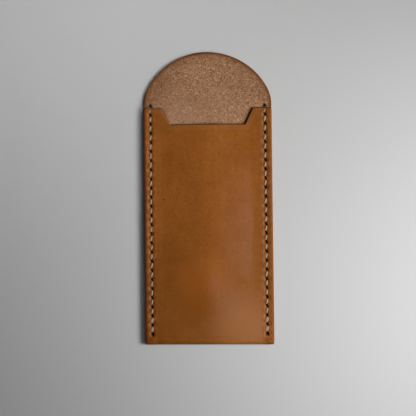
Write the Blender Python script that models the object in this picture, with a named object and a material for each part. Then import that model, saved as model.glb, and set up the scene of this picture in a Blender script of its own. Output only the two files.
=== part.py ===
"""A leather pen case, lying on its back with its mouth towards +Y.

One strip of vegetable-tanned leather, grain side out, is folded at the bottom
into a front panel and a longer back panel.  The front panel has a trapezoid
thumb notch, and the back panel runs on past it as a round tongue that bends
forward over the mouth.  Each side is closed by one saddle-stitched thread.
The strip is split where it changes direction or bends.

Lengths are in metres.  Heights along the case are measured from the fold.
"""
import math

import bmesh
import bpy
from mathutils import Vector

# Driving dimensions
case_width = 0.0700
front_height = 0.1300
tongue_reach = 0.0300
leather_thickness = 0.0020
seat_gap = 0.0003

# Mouth of the front panel
notch_depth = 0.0090
notch_top_half_width = 0.0248
notch_bottom_half_width = 0.0205

# Tongue, whose round end is a little flatter than a half circle
tongue_flare = 0.0022
shoulder_radius = 0.0200
tongue_arc_steps = 18
shoulder_arc_steps = 4

# Room inside the pocket, where pens have stretched the front panel
pocket_height = 0.0050
pocket_flat_half_width = 0.0060
pocket_rise_length = 0.0400
pocket_side_steps = 5
pocket_rise_steps = 6
pocket_run_steps = 3

# Fold and the creased line above it
fold_land = 0.00085
fold_arc_steps = 8
crease_land = 0.0001
crease_width = 0.0008
crease_depth = 0.0003

# Rounding of the cut edges
edge_round = 0.0004
edge_round_steps = 2
sharp_angle = math.radians(35)

# Thread, flattened where it lies on the leather and squeezed round in a slit
thread_half_width = 0.00050
thread_half_thickness = 0.00035
slit_thread_radius = 0.00030
strand_gap = 0.00016
thread_clearance = 0.00025
thread_sides = 6

# Saddle stitches
seam_inset = 0.00375
stitch_pitch = 0.0050
top_hole_rise = 0.00125
lowest_hole_land = 0.0002
exit_across = 0.00035
exit_along = 0.00080
slit_end_room = 0.0004
slit_taper = 0.0004
lip_depth = 0.00015
crown_inset = 0.0012
wrap_stand_off = 0.00075
wrap_corner_stand_off = 0.00035
doubled_stitches = 2
doubled_half_width = 0.00042
doubled_foot_depth = 0.00030
doubled_foot_radius = 0.00020

# Beds that the stitches are drawn down into
front_bed_depth = 0.0005
back_bed_land = 0.00005
bed_land = 0.0014

# Bends of the tongue, whose axes lie just above its flesh side
bend_land = 0.00205
bend_axis_rise = 0.00075
closing_clearance = 0.0009

# How far a cutter runs past what it cuts
overrun = 0.0010

half_width = case_width / 2
case_length = front_height + tongue_reach
tongue_radius = half_width + tongue_flare
layer_height = leather_thickness + seat_gap
margin_top = layer_height + leather_thickness
fold_radius = margin_top / 2
fold_leg = fold_radius + fold_land
panel_start = fold_leg + seat_gap
crease_height = panel_start + crease_land + crease_width / 2
crease_top = crease_height + crease_width / 2

strand_offset = slit_thread_radius + strand_gap / 2
slit_half_length = math.hypot(exit_across, exit_along) + thread_half_thickness + slit_end_room
slit_half_width = strand_offset + slit_thread_radius + thread_clearance
slit_direction = Vector((exit_across, -exit_along, 0)).normalized()
slit_side = Vector((-slit_direction.y, slit_direction.x, 0))
slit_reach = slit_half_length * -slit_direction.y

bed_half_width = thread_half_width + thread_clearance
doubled_bed_half_width = bed_half_width + doubled_half_width
front_bed = margin_top - front_bed_depth
back_bed = thread_clearance + thread_half_thickness + thread_half_thickness + back_bed_land
seam_x = half_width - seam_inset
flat_margin = seam_inset + doubled_bed_half_width + bed_land

top_hole = front_height + top_hole_rise
lowest_hole = crease_top + lowest_hole_land + slit_reach
stitch_count = int((top_hole - lowest_hole) / stitch_pitch)
hole_heights = [top_hole - stitch_pitch * number for number in range(stitch_count + 1)]

bend_axis_z = leather_thickness + bend_axis_rise
pocket_top = leather_thickness + pocket_height + leather_thickness
spine_length = pocket_top + closing_clearance - bend_axis_z - bend_axis_rise
first_bend = top_hole + slit_reach + bend_land
second_bend = first_bend + spine_length


def along(height):
    """Y of a height above the fold."""
    return height - case_length / 2


def smooth(share):
    """Ease from 0 to 1."""
    share = min(max(share, 0), 1)
    return share * share * (3 - 2 * share)


def outline_half_width(height):
    """Half width of the back panel and its tongue at a height."""
    centre = case_length - tongue_radius
    reach = tongue_radius - shoulder_radius
    inset = half_width - shoulder_radius
    shoulder_centre = centre + math.sqrt(reach * reach - inset * inset)
    shoulder_end = centre + (shoulder_centre - centre) * tongue_radius / reach
    if height <= shoulder_centre:
        return half_width
    if height <= shoulder_end:
        rise = height - shoulder_centre
        return inset + math.sqrt(shoulder_radius * shoulder_radius - rise * rise)
    rise = min(height - centre, tongue_radius)
    return math.sqrt(tongue_radius * tongue_radius - rise * rise)


def outline_heights(low, high):
    """Heights between two cuts at which the curved outline is sampled."""
    centre = case_length - tongue_radius
    reach = tongue_radius - shoulder_radius
    inset = half_width - shoulder_radius
    shoulder_end = math.acos(inset / reach)
    shoulder_centre = centre + math.sqrt(reach * reach - inset * inset)
    heights = []
    for step in range(shoulder_arc_steps + 1):
        angle = shoulder_end * step / shoulder_arc_steps
        heights.append(shoulder_centre + shoulder_radius * math.sin(angle))
    for step in range(1, tongue_arc_steps):
        angle = shoulder_end + (math.pi / 2 - shoulder_end) * step / tongue_arc_steps
        heights.append(centre + tongue_radius * math.sin(angle))
    return [height for height in heights if low + edge_round < height < high - edge_round / 4]


def pocket_lift(x, height):
    """How far the front panel's inner face stands above its stitched margins."""
    side_run = half_width - flat_margin - pocket_flat_half_width
    side_share = 1 - smooth((abs(x) - pocket_flat_half_width) / side_run)
    rise_share = smooth((height - crease_top) / pocket_rise_length)
    return (pocket_height - seat_gap) * side_share * rise_share


def upright_thickness(x, height):
    """Leather thickness measured along Z where the panel slopes."""
    step = edge_round
    slope_x = (pocket_lift(x + step, height) - pocket_lift(x - step, height)) / (2 * step)
    slope_y = (pocket_lift(x, height + step) - pocket_lift(x, height - step)) / (2 * step)
    return leather_thickness * math.sqrt(1 + slope_x * slope_x + slope_y * slope_y)


def mouth_at(x):
    """Height of the front panel's mouth at a distance from the middle."""
    run = notch_top_half_width - notch_bottom_half_width
    share = min(max((abs(x) - notch_bottom_half_width) / run, 0), 1)
    return front_height - notch_depth * (1 - share)


def make_material(name, colour, roughness):
    material = bpy.data.materials.new(name)
    material.use_nodes = True
    shader = material.node_tree.nodes["Principled BSDF"]
    shader.inputs["Base Color"].default_value = (*colour, 1)
    shader.inputs["Roughness"].default_value = roughness
    shader.inputs["Metallic"].default_value = 0
    material.diffuse_color = (*colour, 1)
    return material


def grain_leather(name):
    return make_material(name, (0.27, 0.105, 0.026), 0.52)


def flesh_leather(name):
    return make_material(name, (0.26, 0.135, 0.070), 0.95)


def waxed_thread(name):
    return make_material(name, (0.52, 0.42, 0.28), 0.60)


def object_from(bm, name, origin=Vector((0, 0, 0))):
    """Close a bmesh into a named object whose origin is at a given point."""
    bmesh.ops.translate(bm, verts=bm.verts, vec=-origin)
    bmesh.ops.recalc_face_normals(bm, faces=bm.faces)
    mesh = bpy.data.meshes.new(name)
    bm.to_mesh(mesh)
    bm.free()
    piece = bpy.data.objects.new(name, mesh)
    piece.location = origin
    bpy.context.scene.collection.objects.link(piece)
    return piece


def finish_piece(piece, material):
    piece.data.materials.append(material)
    piece.data.shade_smooth()
    piece.data.set_sharp_from_angle(angle=sharp_angle)
    return piece


def boolean(piece, tool, operation):
    """Cut or join a tool, which stays in the file as a hidden guide."""
    tool.hide_render = True
    tool.display_type = "WIRE"
    modifier = piece.modifiers.new(tool.name, "BOOLEAN")
    modifier.operation = operation
    modifier.solver = "EXACT"
    modifier.object = tool


def round_edges(bm, chosen):
    """Round the edges that a test on their two ends picks."""
    edges = [edge for edge in bm.edges if chosen(edge.verts[0].co, edge.verts[1].co)]
    bmesh.ops.bevel(bm, geom=edges, offset=edge_round, segments=edge_round_steps,
                    profile=0.5, affect="EDGES", clamp_overlap=True)


def plate(outline, low_z, high_z):
    """A flat piece of leather from its outline, as a bmesh."""
    bm = bmesh.new()
    face = bm.faces.new([bm.verts.new((x, y, low_z)) for x, y in outline])
    top = bmesh.ops.extrude_face_region(bm, geom=[face])["geom"]
    moved = [item for item in top if isinstance(item, bmesh.types.BMVert)]
    bmesh.ops.translate(bm, verts=moved, vec=(0, 0, high_z - low_z))
    return bm


def strip_outline(low, high):
    """Outline of the back panel or tongue between two heights."""
    heights = [low] + outline_heights(low, high)
    right = [(outline_half_width(height), along(height)) for height in heights]
    left = [(-x, y) for x, y in reversed(right)]
    if high == case_length:
        return right + [(0, along(high))] + left
    end = outline_half_width(high)
    return right + [(end, along(high)), (-end, along(high))] + left


def strip_piece(name, low, high, origin):
    """A flat stretch of the strip, its own cut edges rounded and its splits square."""
    bm = plate(strip_outline(low, high), 0, leather_thickness)
    splits = [along(low)] + ([along(high)] if high < case_length else [])

    def is_cut_edge(start, end):
        level = abs(start.z - end.z) < seat_gap
        on_split = any(abs(start.y - y) < seat_gap and abs(end.y - y) < seat_gap for y in splits)
        return level and not on_split

    round_edges(bm, is_cut_edge)
    return object_from(bm, name, origin)


def slit_outline(centre):
    """A slanted slit with pointed ends, as an awl's diamond blade leaves it."""
    tip, side = slit_half_length, slit_half_width
    shoulder = tip - slit_taper
    places = [(tip, 0), (shoulder, side), (-shoulder, side),
              (-tip, 0), (-shoulder, -side), (shoulder, -side)]
    points = [centre + slit_direction * run + slit_side * across for run, across in places]
    return [(point.x, point.y) for point in points]


def add_solid(bm, solid):
    """Move a solid's faces into another bmesh."""
    mesh = bpy.data.meshes.new("solid")
    solid.to_mesh(mesh)
    solid.free()
    bm.from_mesh(mesh)
    bpy.data.meshes.remove(mesh)


def slit_cutter(name, heights):
    """The slanted slits of both seams."""
    bm = bmesh.new()
    for x in (-seam_x, seam_x):
        for height in heights:
            outline = slit_outline(Vector((x, along(height), 0)))
            add_solid(bm, plate(outline, -overrun, margin_top + overrun))
    return object_from(bm, name)


def bed_cutter(name, low_z, high_z, low, high):
    """The shallow bed of each seam, wider under the doubled stitches."""
    doubled_top = hole_heights[-1 - doubled_stitches] + exit_along
    bm = bmesh.new()
    for x in (-seam_x, seam_x):
        outline = [(-bed_half_width, high), (-bed_half_width, doubled_top),
                   (-doubled_bed_half_width, doubled_top), (-doubled_bed_half_width, low),
                   (doubled_bed_half_width, low), (doubled_bed_half_width, doubled_top),
                   (bed_half_width, doubled_top), (bed_half_width, high)]
        outline = [(x + side, along(height)) for side, height in outline]
        add_solid(bm, plate(outline, low_z, high_z))
    return object_from(bm, name)


def front_stations():
    """Distances from the middle at which the front panel is sampled."""
    inner = pocket_flat_half_width
    outer = half_width - flat_margin
    stations = [0, half_width, notch_bottom_half_width, notch_top_half_width]
    for step in range(pocket_side_steps + 1):
        station = inner + (outer - inner) * step / pocket_side_steps
        crowded = min(abs(station - notch_bottom_half_width), abs(station - notch_top_half_width))
        if crowded > leather_thickness / 2 or step in (0, pocket_side_steps):
            stations.append(station)
    stations = sorted(set(stations))
    return [-station for station in reversed(stations[1:])] + stations


def front_rows(x):
    """Heights at which the front panel is sampled, with the crease's drop at each."""
    crease_start = crease_top - crease_width
    rows = [(panel_start, 0), (crease_start, 0), (crease_height, crease_depth), (crease_top, 0)]
    for step in range(1, pocket_rise_steps + 1):
        rows.append((crease_top + pocket_rise_length * step / pocket_rise_steps, 0))
    last = rows[-1][0]
    for step in range(1, pocket_run_steps + 1):
        rows.append((last + (mouth_at(x) - last) * step / pocket_run_steps, 0))
    return rows


def front_panel():
    """The domed front panel, with its notch, crease, beds and slits."""
    bm = bmesh.new()
    low, high = [], []
    for x in front_stations():
        low_column, high_column = [], []
        for height, drop in front_rows(x):
            inner = layer_height + pocket_lift(x, height)
            outer = inner + upright_thickness(x, height) - drop
            low_column.append(bm.verts.new((x, along(height), inner)))
            high_column.append(bm.verts.new((x, along(height), outer)))
        low.append(low_column)
        high.append(high_column)
    columns, rows = len(low), len(low[0])
    for i in range(columns - 1):
        for j in range(rows - 1):
            bm.faces.new((low[i][j], low[i][j + 1], low[i + 1][j + 1], low[i + 1][j]))
            bm.faces.new((high[i][j], high[i + 1][j], high[i + 1][j + 1], high[i][j + 1]))
    for i in range(columns - 1):
        for j in (0, rows - 1):
            bm.faces.new((low[i][j], low[i + 1][j], high[i + 1][j], high[i][j]))
    for j in range(rows - 1):
        for i in (0, columns - 1):
            bm.faces.new((low[i][j], low[i][j + 1], high[i][j + 1], high[i][j]))
    bmesh.ops.recalc_face_normals(bm, faces=bm.faces)

    def is_cut_edge(start, end):
        middle = (start + end) / 2
        on_side = abs(abs(middle.x) - half_width) < seat_gap
        on_mouth = abs(middle.y - along(mouth_at(middle.x))) < seat_gap
        along_side = on_side and abs(start.x - end.x) < seat_gap and abs(start.y - end.y) > seat_gap
        along_mouth = on_mouth and abs(start.x - end.x) > seat_gap
        return along_side or along_mouth

    round_edges(bm, is_cut_edge)
    piece = object_from(bm, "front_panel")
    beds = bed_cutter("front_beds", front_bed, margin_top + overrun,
                      hole_heights[-1], front_height + overrun)
    boolean(piece, beds, "DIFFERENCE")
    boolean(piece, slit_cutter("front_slits", hole_heights[1:]), "DIFFERENCE")
    return finish_piece(piece, grain_leather("front_grain"))


def back_panel():
    """The flat back panel, up to the tongue's first bend."""
    end = first_bend - seat_gap / 2
    piece = strip_piece("back_panel", panel_start, end, Vector((0, 0, 0)))
    beds = bed_cutter("back_beds", -overrun, back_bed, hole_heights[-1], hole_heights[0])
    boolean(piece, beds, "DIFFERENCE")
    boolean(piece, slit_cutter("back_slits", hole_heights), "DIFFERENCE")
    return finish_piece(piece, grain_leather("back_grain"))


def bottom_fold():
    """The leather turned round on itself below both panels."""
    centre = Vector((fold_radius, fold_radius))
    profile = [(fold_leg, 0)]
    for step in range(fold_arc_steps + 1):
        angle = -math.pi / 2 - math.pi * step / fold_arc_steps
        profile.append((centre.x + fold_radius * math.cos(angle),
                        centre.y + fold_radius * math.sin(angle)))
    profile.append((fold_leg, margin_top))
    profile.append((fold_leg, layer_height))
    inner_radius = seat_gap / 2
    inner_steps = fold_arc_steps // 2
    for step in range(inner_steps + 1):
        angle = math.pi / 2 + math.pi * step / inner_steps
        profile.append((centre.x + inner_radius * math.cos(angle),
                        centre.y + inner_radius * math.sin(angle)))
    profile.append((fold_leg, leather_thickness))

    bm = bmesh.new()
    section = bm.faces.new([bm.verts.new((-half_width, along(height), z)) for height, z in profile])
    swept = bmesh.ops.extrude_face_region(bm, geom=[section])["geom"]
    moved = [item for item in swept if isinstance(item, bmesh.types.BMVert)]
    bmesh.ops.translate(bm, verts=moved, vec=(case_width, 0, 0))

    def is_outer_end(start, end):
        across = abs(start.x - end.x) < seat_gap
        reach = [math.hypot(point.y - along(fold_radius), point.z - fold_radius)
                 for point in (start, end)]
        return across and min(reach) > fold_radius - seat_gap and abs(start.y - end.y) > 0

    round_edges(bm, is_outer_end)
    return finish_piece(object_from(bm, "bottom_fold"), grain_leather("fold_grain"))


def flap_spine():
    """The stretch of the tongue that stands across the mouth when it is closed."""
    origin = Vector((0, along(first_bend), bend_axis_z))
    piece = strip_piece("flap_spine", first_bend + seat_gap / 2, second_bend - seat_gap / 2, origin)
    return finish_piece(piece, flesh_leather("spine_flesh"))


def flap(spine):
    """The round end of the tongue, hinged on the spine's far bend."""
    origin = Vector((0, along(second_bend), bend_axis_z))
    piece = strip_piece("flap", second_bend + seat_gap / 2, case_length, origin)
    piece.parent = spine
    piece.location = origin - spine.location
    return finish_piece(piece, flesh_leather("flap_flesh"))


def tube(bm, rings):
    """Sweep a flattened thread along rings of (centre, half width, half thickness)."""
    centres = [ring[0] for ring in rings]
    loops = []
    for number, (centre, half_side, half_depth) in enumerate(rings):
        before = centres[max(number - 1, 0)]
        after = centres[min(number + 1, len(rings) - 1)]
        arriving = (centre - before).normalized() if number else Vector((0, 0, 0))
        leaving = (after - centre).normalized() if after != centre else Vector((0, 0, 0))
        forward = (arriving + leaving).normalized()
        side = (Vector((1, 0, 0)) - forward * forward.x).normalized()
        up = forward.cross(side)
        loop = []
        for corner in range(thread_sides):
            angle = 2 * math.pi * corner / thread_sides
            offset = side * half_side * math.cos(angle) + up * half_depth * math.sin(angle)
            loop.append(bm.verts.new(centre + offset))
        loops.append(loop)
    for first, second in zip(loops, loops[1:]):
        for corner in range(thread_sides):
            after = (corner + 1) % thread_sides
            bm.faces.new((first[corner], first[after], second[after], second[corner]))
    bm.faces.new(loops[0])
    bm.faces.new(loops[-1])


def crown_z(on_front):
    """Height of a stitch's centre line where it lies on its bed."""
    stand = thread_clearance + thread_half_thickness
    return front_bed + stand if on_front else back_bed - stand


def lip_z(on_front):
    """Height at which a strand turns into a slit."""
    return front_bed - lip_depth if on_front else back_bed + lip_depth


def lip(x, height, arriving, on_front, strand):
    """Where a strand arrives at, or leaves, a slit on one face."""
    run = -slit_direction if arriving else slit_direction
    reach = math.hypot(exit_across, exit_along)
    place = Vector((x, along(height), lip_z(on_front)))
    return place + run * reach + slit_side * (strand * strand_offset)


def crown(x, height, on_front, shift):
    """A ring on the flat top of a stitch."""
    centre = Vector((x + shift, along(height), crown_z(on_front)))
    return (centre, thread_half_width, thread_half_thickness)


def half_thread(x, on_front):
    """Rings of one half of a thread, from the top hole down."""
    rings = []
    last = len(hole_heights) - 1
    for number in range(last):
        upper, lower = hole_heights[number], hole_heights[number + 1]
        shift = -doubled_half_width if number >= last - doubled_stitches else 0
        start = front_height - wrap_corner_stand_off if number == 0 and on_front else upper - crown_inset
        rings.append(crown(x, start, on_front, shift))
        rings.append(crown(x, lower + crown_inset, on_front, shift))
        strand = 1 if on_front else -1
        enter = lip(x, lower, True, on_front, strand)
        leave = lip(x, lower, False, not on_front, strand)
        rings.append((enter, slit_thread_radius, slit_thread_radius))
        if number + 1 == last:
            leave = (enter + leave) / 2
        rings.append((leave, slit_thread_radius, slit_thread_radius))
        on_front = not on_front
    return rings


def thread_middle(x):
    """Rings from the front, over the mouth's edge and down through the top hole."""
    climb = Vector((x, along(front_height + wrap_stand_off), layer_height + leather_thickness / 2))
    corner = Vector((x, along(front_height + wrap_corner_stand_off), crown_z(True)))
    inside = Vector((x, along(top_hole), leather_thickness))
    below = Vector((x, along(top_hole - exit_along / 2), lip_z(False)))
    rings = [(corner, thread_half_width, thread_half_thickness)]
    rings.append((climb, thread_half_width, thread_half_thickness))
    rings.append((inside, slit_thread_radius, slit_thread_radius))
    rings.append((below, slit_thread_radius, slit_thread_radius))
    return rings


def doubled_strand(x, number, on_front):
    """Rings of the second strand laid beside a back-stitched stitch."""
    upper, lower = hole_heights[number], hole_heights[number + 1]
    strands = []
    for height, arriving in ((upper, False), (lower, True)):
        strand = 1 if arriving == on_front else -1
        near = lip(x, height, arriving, on_front, strand)
        far = lip(x, height, not arriving, not on_front, strand)
        foot = near + (far - near).normalized() * doubled_foot_depth
        strands.append((foot, near))
    (upper_foot, upper_lip), (lower_foot, lower_lip) = strands
    small = doubled_foot_radius
    return [(upper_foot, small, small), (upper_lip, small, small),
            crown(x, upper - crown_inset, on_front, doubled_half_width),
            crown(x, lower + crown_inset, on_front, doubled_half_width),
            (lower_lip, small, small), (lower_foot, small, small)]


def seam_thread(name, x, material_name):
    """One saddle-stitched thread, its halves crossing in every slit."""
    bm = bmesh.new()
    front_half = half_thread(x, True)
    back_half = half_thread(x, False)
    tube(bm, list(reversed(front_half)) + thread_middle(x) + back_half)
    piece = object_from(bm, name)

    bm = bmesh.new()
    last = len(hole_heights) - 1
    for number in range(last - doubled_stitches, last):
        for on_front in (True, False):
            tube(bm, doubled_strand(x, number, on_front))
    boolean(piece, object_from(bm, name + "_doubled"), "UNION")
    return finish_piece(piece, waxed_thread(material_name))


def main():
    for item in list(bpy.data.objects):
        bpy.data.objects.remove(item, do_unlink=True)
    front_panel()
    back_panel()
    bottom_fold()
    flap(flap_spine())
    seam_thread("left_seam_thread", -seam_x, "left_thread")
    seam_thread("right_seam_thread", seam_x, "right_thread")


main()
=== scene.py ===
import math

import bmesh
import bpy
import numpy as np
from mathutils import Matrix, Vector


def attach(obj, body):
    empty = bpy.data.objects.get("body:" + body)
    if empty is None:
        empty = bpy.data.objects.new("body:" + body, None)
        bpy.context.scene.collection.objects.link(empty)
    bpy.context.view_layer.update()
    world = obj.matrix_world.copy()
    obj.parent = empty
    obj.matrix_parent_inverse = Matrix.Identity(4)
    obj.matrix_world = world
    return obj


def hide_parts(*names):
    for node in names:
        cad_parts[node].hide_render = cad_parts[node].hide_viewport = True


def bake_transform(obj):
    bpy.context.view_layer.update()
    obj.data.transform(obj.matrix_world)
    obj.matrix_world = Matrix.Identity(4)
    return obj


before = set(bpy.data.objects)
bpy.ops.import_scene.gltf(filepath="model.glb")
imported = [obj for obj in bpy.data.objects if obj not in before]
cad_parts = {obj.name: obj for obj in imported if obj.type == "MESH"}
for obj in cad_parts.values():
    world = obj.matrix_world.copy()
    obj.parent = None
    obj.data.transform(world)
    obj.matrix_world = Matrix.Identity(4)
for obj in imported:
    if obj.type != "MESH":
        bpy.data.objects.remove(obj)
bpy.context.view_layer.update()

# The case as its solids have it, in metres, with heights measured from the fold
case_width = 0.0700
case_length = 0.1600
half_width = case_width / 2
front_height = 0.1300
leather = 0.0020
layer_gap = 0.0003
layer_height = 0.0023
fold_radius = 0.00215
fold_leg = 0.0030
notch_depth = 0.0090
notch_top_half = 0.0248
notch_bottom_half = 0.0205
tongue_radius = 0.0372
shoulder_radius = 0.0200

# The pocket's gape, which eases toward the mouth; a pair is a start and the run from there
pocket_height = 0.0038
pocket_rise = (0.0042, 0.0400)
flat_margin = 0.00632
mouth_ease = 0.42
mouth_ease_rise = (0.0980, 0.0220)

# How the real leather departs from its solids
tongue_stretch = 0.0007
right_spread = 0.00045
spread_at_mouth = 0.30
fold_zone = 0.0100
fold_shift = 0.00022
fold_slant = 0.0080
layer_swell = 0.00011
swell_fall = (0.1230, 0.0040)
skive = 0.00028
skive_run = 0.0015
mouth_lean = 0.00034
right_lean = 0.00040
right_lean_start = 1.4
belly = 0.00040
belly_rise = (0.1140, 0.0060)
belly_fall = (0.1285, 0.0060)
belly_side_fall = (0.0200, 0.0050)
crease_depth = 0.00024
crease_height = 0.0038
crease_width = 0.00045
crease_waves = ((0.00022, 190, 0.6), (0.00012, 470, 0))
crease_fade = (0.25, 130, 1.9)
bend_fall = (0.0036, 0.0034)

# Rounded edges, each turned in three steps on either side of its middle
outer_round = 0.00060
inner_round = 0.00030
mouth_round = 0.00040
corner_round = 0.0009
tongue_round = 0.00075
edge_turns = (1, 2, 3)
turn_angle = math.pi / 6
edge_middle = 0.48
side_count = 2 * len(edge_turns) + 1

# Seams and their slanted slits
seam_x = 0.03125
pitch = 0.0050
top_hole = 0.13125
holes = [top_hole - pitch * number for number in range(26)]
last_hole = len(holes) - 1
slit_run = Vector((0.00035, -0.00080))
slit_half_length = 0.00146
slit_half_width = 0.00048
slit_soft_edge = 0.00020
end_slit_width = 1.55
slit_depth = 0.00150
open_pit_depth = 0.00065

# What the stitches press in: a depth, a width and a shape, or a start and a run
deepest_press = 0.0017
deepest_through = 0.00105
front_valley = (0.00014, 0.0011)
front_slope = (0.00022, 0.0032, 1.25)
front_dimple = (0.00050, 0.00112, 0.62)
front_puff = (0.00012, 0.0009)
front_press_rise = (0.0040, 0.0020)
back_groove = 0.00074
back_groove_fall = (0.00060, 0.00050)
back_slope = (0.00016, 0.0034, 1.5)
back_dimple = (0.00014, 0.00125, 0.7)
back_press_rise = (0.0040, 0.0012)
back_press_fall = (0.1320, 0.0012)
top_dimple = (0.00012, 0.0011, 1)
dimple_left = 0.00042
puff_beside = 0.0016
puff_gap = 0.0015
# Where a highlight is painted at the left of each hole on the front
lip_left = 0.00125
lip_width = 0.00046
# Where the thread's shadow is painted at the left of each stitch on the front
shadow_left = 0.00080
shadow_width = 0.00034
shadow_gap = 0.00165

# Rows and columns of the mesh
slant_row_fall = (0.00130, 0.00115)
slant_column_fall = (0.0007, 0.0012)
last_slanted_row = 0.1335
past_seam_rise = (0.1320, 0.0050)
through_rows = 0.0005
level_rows_top = 0.1120
mouth_row = 0.0012
mouth_insets = (0, 0.00004, 0.00012, 0.00022, 0.00031, 0.00040, 0.00075)
fold_steps = 18
leg_row = 0.00042
root_rows = [0.1335, 0.1342, 0.1348, 0.1354, 0.1360, 0.1366, 0.1373]
seam_steps = [-0.0030, -0.0024, -0.0019, -0.00140, -0.00100, -0.00068, -0.00046, -0.00023, 0,
              0.00023, 0.00046, 0.00068, 0.00100, 0.00140, 0.0019, 0.0024]
hole_steps = [0.00136, 0.00112, 0.00070, 0, -0.00070, -0.00112, -0.00136, -0.00180, -0.00250, -0.00322]
notch_bottom_steps = (-0.0005, 0, 0.00014, 0.00028, 0.0007, 0.0016, 0.0029)
notch_top_steps = (-0.0005, -0.00014, 0, 0.00014, 0.00028, 0.0008)
plain_step = 0.0025
plain_steps = 11
notch_middle = 0.0226
notch_clear = 0.0029
margin_column = 0.0341

# The flat strip, whose places the textures follow
flat_leg = 0.00085
flat_radius = fold_radius * 0.8
flat_back_start = front_height - fold_leg + flat_radius * math.pi + 2 * flat_leg - fold_leg

# Bends of the tongue, and its mesh
first_bend = 0.134787
second_bend = 0.141187
split_height = (first_bend + second_bend) / 2
tongue_centre = case_length - tongue_radius + tongue_stretch
tongue_side = 4.0
tongue_steps = 108
tongue_rows = 30
tongue_row_crowding = 1.7
tongue_round_steps = 9

# The notch's slants and the shoulders' arcs
notch_floor = front_height - notch_depth
notch_slope = notch_depth / (notch_top_half - notch_bottom_half)
notch_stretch = math.hypot(1, notch_slope)
shoulder_reach = tongue_radius - shoulder_radius
shoulder_x = half_width - shoulder_radius
shoulder_y = math.sqrt(shoulder_reach * shoulder_reach - shoulder_x * shoulder_x)
shoulder_end = shoulder_y * tongue_radius / shoulder_reach

# Kinds of face, in the order of each leather piece's materials
GRAIN = 0
FLESH = 1
EDGE = 2

# Fields that the leather's materials read, and those that are lengths and are kept in millimetres
FIELDS = ("flat_place", "rim", "side", "bend", "press", "pit", "shine", "groove")
LENGTHS = ("flat_place", "rim", "side", "press")


# Shape of the leather
def along(height):
    """Y of a height above the fold."""
    return height - case_length / 2


def smooth(share):
    """A share from 0 to 1 with soft ends."""
    share = np.clip(share, 0, 1)
    return share * share * (3 - 2 * share)


def risen(value, start, run):
    """0 below a start, 1 past its run and smooth between."""
    return smooth((value - start) / run)


def hump(distance, width):
    """1 at no distance, falling off softly over a width."""
    return np.exp(-(distance / width) ** 2)


def soft_fall(share, ends=0.22):
    """Falls from 1 to 0 with an even slope between soft ends."""
    share = np.clip(share, 0, 1)
    slope = 1 / (1 - ends)
    start = slope * share ** 2 / (2 * ends)
    middle = slope * (share - ends / 2)
    finish = 1 - slope * (1 - share) ** 2 / (2 * ends)
    return 1 - np.where(share < ends, start, np.where(share < 1 - ends, middle, finish))


def relaxed(points):
    """Points as the real case lies: let out a little at the right, its fold not quite square."""
    points = np.array(points, float)
    share = np.clip(points[:, 0] / half_width, 0, 1)
    toward_fold = smooth((along(front_height) - points[:, 1]) / front_height)
    points[:, 0] += right_spread * share * (spread_at_mouth + (1 - spread_at_mouth) * toward_fold)
    fold_share = smooth((along(fold_zone) - points[:, 1]) / fold_zone)
    points[:, 1] += fold_share * (fold_shift - fold_slant * points[:, 0])
    return points


def outline_half(height):
    """Half width of the strip at a height above the fold."""
    height = np.asarray(height, float)
    rise = np.clip(height - tongue_centre - shoulder_y, 0, shoulder_radius)
    low = shoulder_x + np.sqrt(shoulder_radius ** 2 - rise ** 2)
    rise = np.clip(height - tongue_centre, 0, tongue_radius)
    high = np.sqrt(tongue_radius ** 2 - rise ** 2)
    return np.where(height < tongue_centre + shoulder_end, low, high)


def pocket_lift(x, height):
    """How far the front panel's inner face stands above its stitched margins."""
    side = soft_fall(np.abs(x) / (half_width - flat_margin))
    ease = 1 - mouth_ease * risen(height, *mouth_ease_rise)
    return (pocket_height - layer_gap) * side * risen(height, *pocket_rise) * ease


def upright(x, height):
    """Leather thickness measured along Z where the panel slopes."""
    step = 0.0004
    slope_x = (pocket_lift(x + step, height) - pocket_lift(x - step, height)) / (2 * step)
    slope_y = (pocket_lift(x, height + step) - pocket_lift(x, height - step)) / (2 * step)
    return leather * np.sqrt(1 + slope_x ** 2 + slope_y ** 2)


def mouth_offset(x, inset, right_inset=0):
    """Height of a line that runs at a distance inside the front panel's mouth."""
    slant_inset = inset + right_inset * (x > 0)
    slant = notch_floor + (np.abs(x) - notch_bottom_half) * notch_slope - slant_inset * notch_stretch
    return np.minimum(front_height - inset, np.maximum(notch_floor - inset, slant))


def mouth_distance(x, height):
    """Distance from the front panel's mouth, measured across its edge."""
    slant = (notch_floor + (np.abs(x) - notch_bottom_half) * notch_slope - height) / notch_stretch
    return np.minimum(front_height - height, np.maximum(notch_floor - height, slant))


def rounded_back(radius, inset):
    """How far a rounded edge stands back at an inset from its tip."""
    return radius - math.sqrt(max(radius ** 2 - max(radius - inset, 0) ** 2, 0))


def crease_line(x, height):
    """Depth of the crease that the folding left above the fold, a little uneven."""
    wander = sum(size * np.sin(x * wave + start) for size, wave, start in crease_waves)
    size, wave, start = crease_fade
    fade = 1 - size + size * np.sin(x * wave + start)
    return crease_depth * fade * hump(height - crease_height - wander, crease_width)


# Shape of the leather round its stitches
def past_seam(x):
    """Signed distance across from the nearest seam."""
    return x - np.copysign(seam_x, x)


def beside_seam(x):
    """Distance across from the nearest seam."""
    return np.abs(np.abs(x) - seam_x)


def valley(distance, depth, width, power):
    """A valley along a seam, as deep as depth in its middle and gone at width."""
    return depth * np.clip(1 - distance / width, 0, 1) ** power


def dimple(across, up, depth, width, length_share):
    """A dimple round a hole, drawn out along the seam by a small length share."""
    return depth * np.exp(-(across ** 2 + length_share * up ** 2) / width ** 2)


def nearest_hole(height, first):
    """Signed distance of each height from the nearest stitch hole."""
    number = np.clip(np.round((top_hole - height) / pitch), first, last_hole)
    return height - (top_hole - pitch * number)


def end_hole(height):
    """True near the top and the lowest hole, which the doubled thread pulls wider."""
    return (np.abs(height - top_hole) < pitch / 2) | (np.abs(height - holes[-1]) < pitch / 2)


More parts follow.
